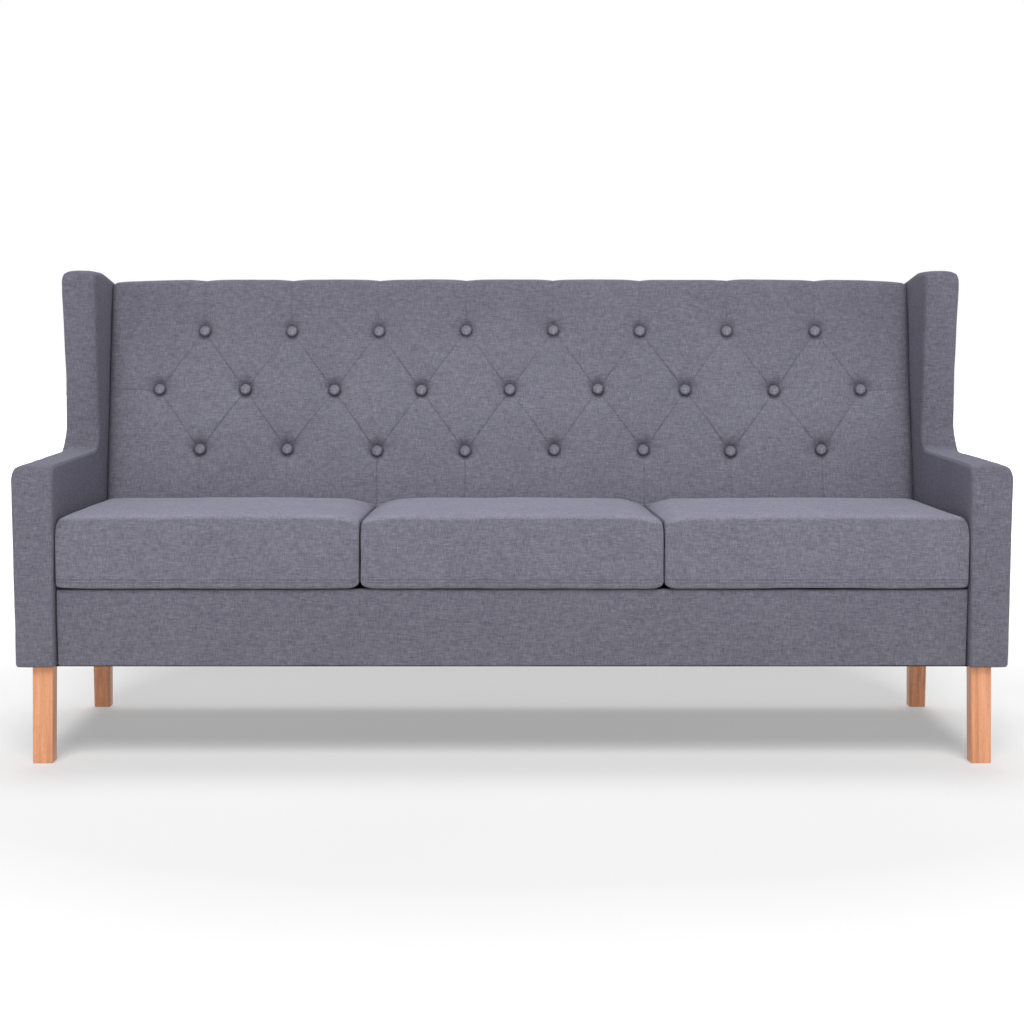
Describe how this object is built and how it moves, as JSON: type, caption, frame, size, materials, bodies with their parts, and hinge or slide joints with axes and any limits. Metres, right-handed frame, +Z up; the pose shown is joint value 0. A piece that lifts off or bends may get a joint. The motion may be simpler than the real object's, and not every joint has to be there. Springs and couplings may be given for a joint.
{
  "type": "wing sofa",
  "caption": "Wing sofa with a tall reclined button-tufted back, slim padded arms that lean outwards, loose seat cushions and square wooden legs, in grey woven fabric.",
  "frame": {"origin": "on the floor, under the middle of the sofa's bounding box", "axes": "+X to the right as seen from the front, +Y towards the back, +Z up; the sofa faces -Y"},
  "size_m": [1.825, 0.762, 0.906],
  "materials": {
    "cover_fabric": "matt grey melange weave, medium grey with a violet cast, flecked light and dark",
    "cushion_fabric": "the cover's weave, on soft foam",
    "button_fabric": "the cover's weave, drawn over a domed button",
    "leg_oak": "pale orange oak with fine straight grain, satin lacquer",
    "frame_pine": "sawn softwood, unfinished",
    "plywood": "plywood, unfinished",
    "webbing": "black elastic webbing",
    "deck_cloth": "thin foam under dark platform cloth",
    "dust_cloth": "thin black non-woven cloth",
    "bolt_steel": "zinc-plated"
  },
  "bodies": {
    "sofa_body": {"left_side_upholstery": "cover_fabric", "right_side_upholstery": "cover_fabric", "back_pad": "cover_fabric", "outside_back": "cover_fabric", "front_apron": "cover_fabric", "seat_deck": "deck_cloth", "dust_cover": "dust_cloth", "leg_front_left": "leg_oak", "leg_front_right": "leg_oak", "leg_rear_left": "leg_oak", "leg_rear_right": "leg_oak", "leg_bolt_front_left": "bolt_steel", "leg_bolt_front_right": "bolt_steel", "leg_bolt_rear_left": "bolt_steel", "leg_bolt_rear_right": "bolt_steel", "left_arm_post": "frame_pine", "left_arm_rail": "frame_pine", "left_back_post": "frame_pine", "left_side_rail": "frame_pine", "right_arm_post": "frame_pine", "right_arm_rail": "frame_pine", "right_back_post": "frame_pine", "right_side_rail": "frame_pine", "left_wing_board": "plywood", "right_wing_board": "plywood", "front_seat_rail": "frame_pine", "rear_seat_rail": "frame_pine", "middle_cross_rail": "frame_pine", "back_top_rail": "frame_pine", "back_lower_rail": "frame_pine", "back_board": "plywood", "seat_webbing": "webbing", "button_top_1": "button_fabric", "button_top_2": "button_fabric", "button_top_3": "button_fabric", "button_top_4": "button_fabric", "button_top_5": "button_fabric", "button_top_6": "button_fabric", "button_top_7": "button_fabric", "button_top_8": "button_fabric", "button_middle_1": "button_fabric", "button_middle_2": "button_fabric", "button_middle_3": "button_fabric", "button_middle_4": "button_fabric", "button_middle_5": "button_fabric", "button_middle_6": "button_fabric", "button_middle_7": "button_fabric", "button_middle_8": "button_fabric", "button_middle_9": "button_fabric", "button_lower_1": "button_fabric", "button_lower_2": "button_fabric", "button_lower_3": "button_fabric", "button_lower_4": "button_fabric", "button_lower_5": "button_fabric", "button_lower_6": "button_fabric", "button_lower_7": "button_fabric", "button_lower_8": "button_fabric"},
    "cushion_left": {"seat_cushion_left": "cushion_fabric"},
    "cushion_middle": {"seat_cushion_middle": "cushion_fabric"},
    "cushion_right": {"seat_cushion_right": "cushion_fabric"}
  },
  "joints": [
    {"name": "cushion_left_lift", "type": "slide", "parent": "sofa_body", "child": "cushion_left", "axis": [0, 0, 1], "range_m": [0, 0.3]},
    {"name": "cushion_middle_lift", "type": "slide", "parent": "sofa_body", "child": "cushion_middle", "axis": [0, 0, 1], "range_m": [0, 0.3]},
    {"name": "cushion_right_lift", "type": "slide", "parent": "sofa_body", "child": "cushion_right", "axis": [0, 0, 1], "range_m": [0, 0.3]}
  ]
}
